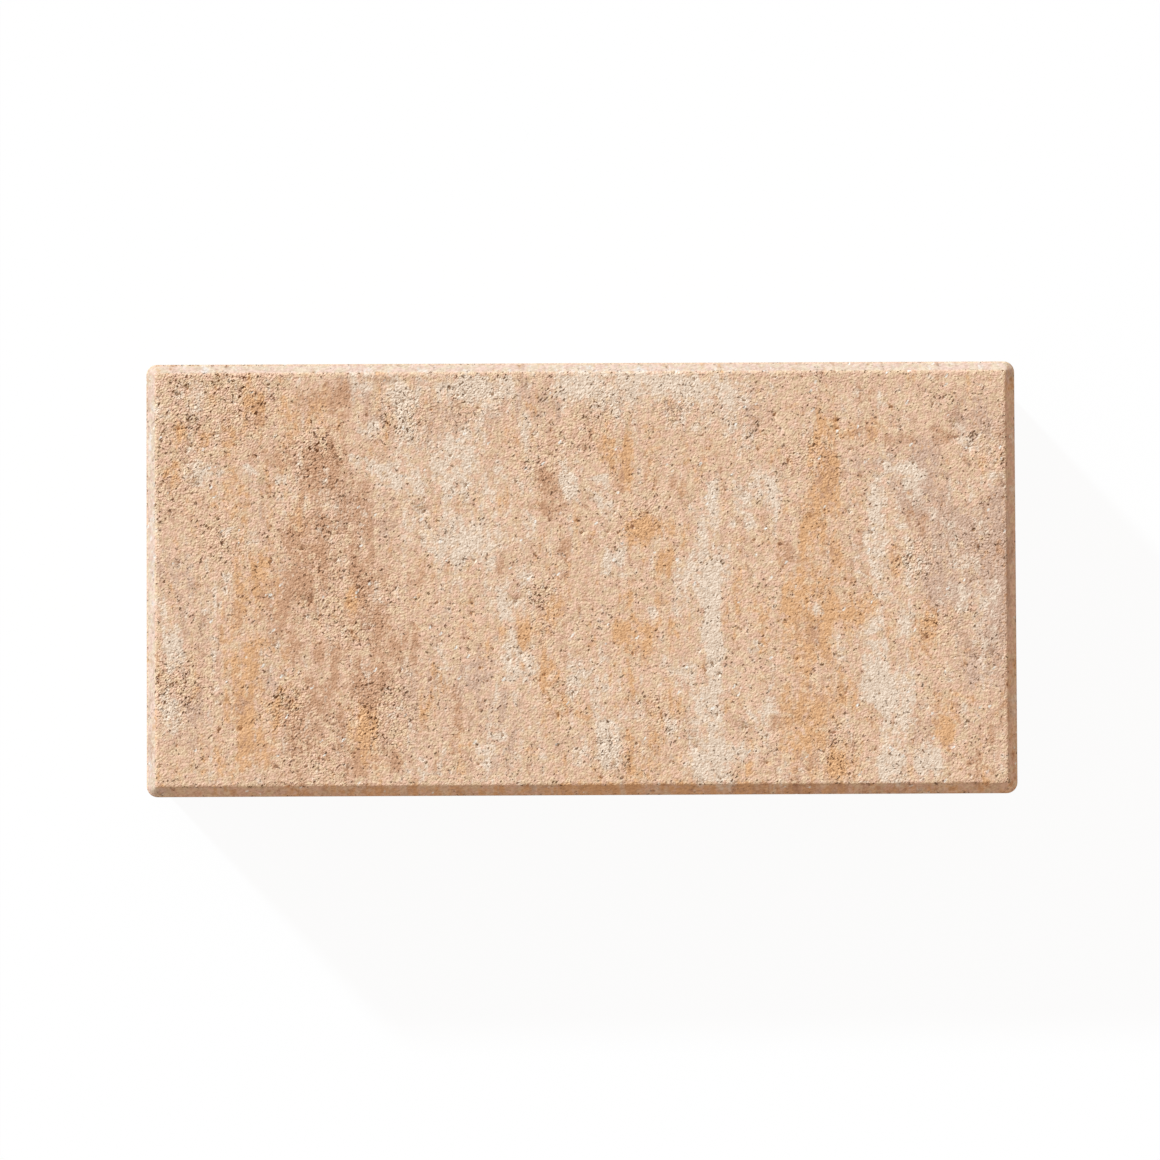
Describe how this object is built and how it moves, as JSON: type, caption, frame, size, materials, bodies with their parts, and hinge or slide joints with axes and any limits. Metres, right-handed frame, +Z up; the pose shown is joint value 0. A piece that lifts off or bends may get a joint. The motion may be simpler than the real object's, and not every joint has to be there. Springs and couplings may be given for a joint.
{
  "type": "concrete paving stone",
  "caption": "Rectangular pressed concrete paving stone with a chamfer round its wearing face, lying on its flat bedding face.",
  "frame": {"origin": "middle of the bedding face, on the ground", "axes": "+X along the length, +Y along the width, +Z up through the wearing face"},
  "size_m": [0.398, 0.198, 0.08],
  "materials": {
    "concrete": "matt sandy concrete, mottled in pinkish beige, ochre, cream and whitish grey, with small open pores"
  },
  "bodies": {
    "root": {"paving_stone": "concrete"}
  },
  "joints": []
}
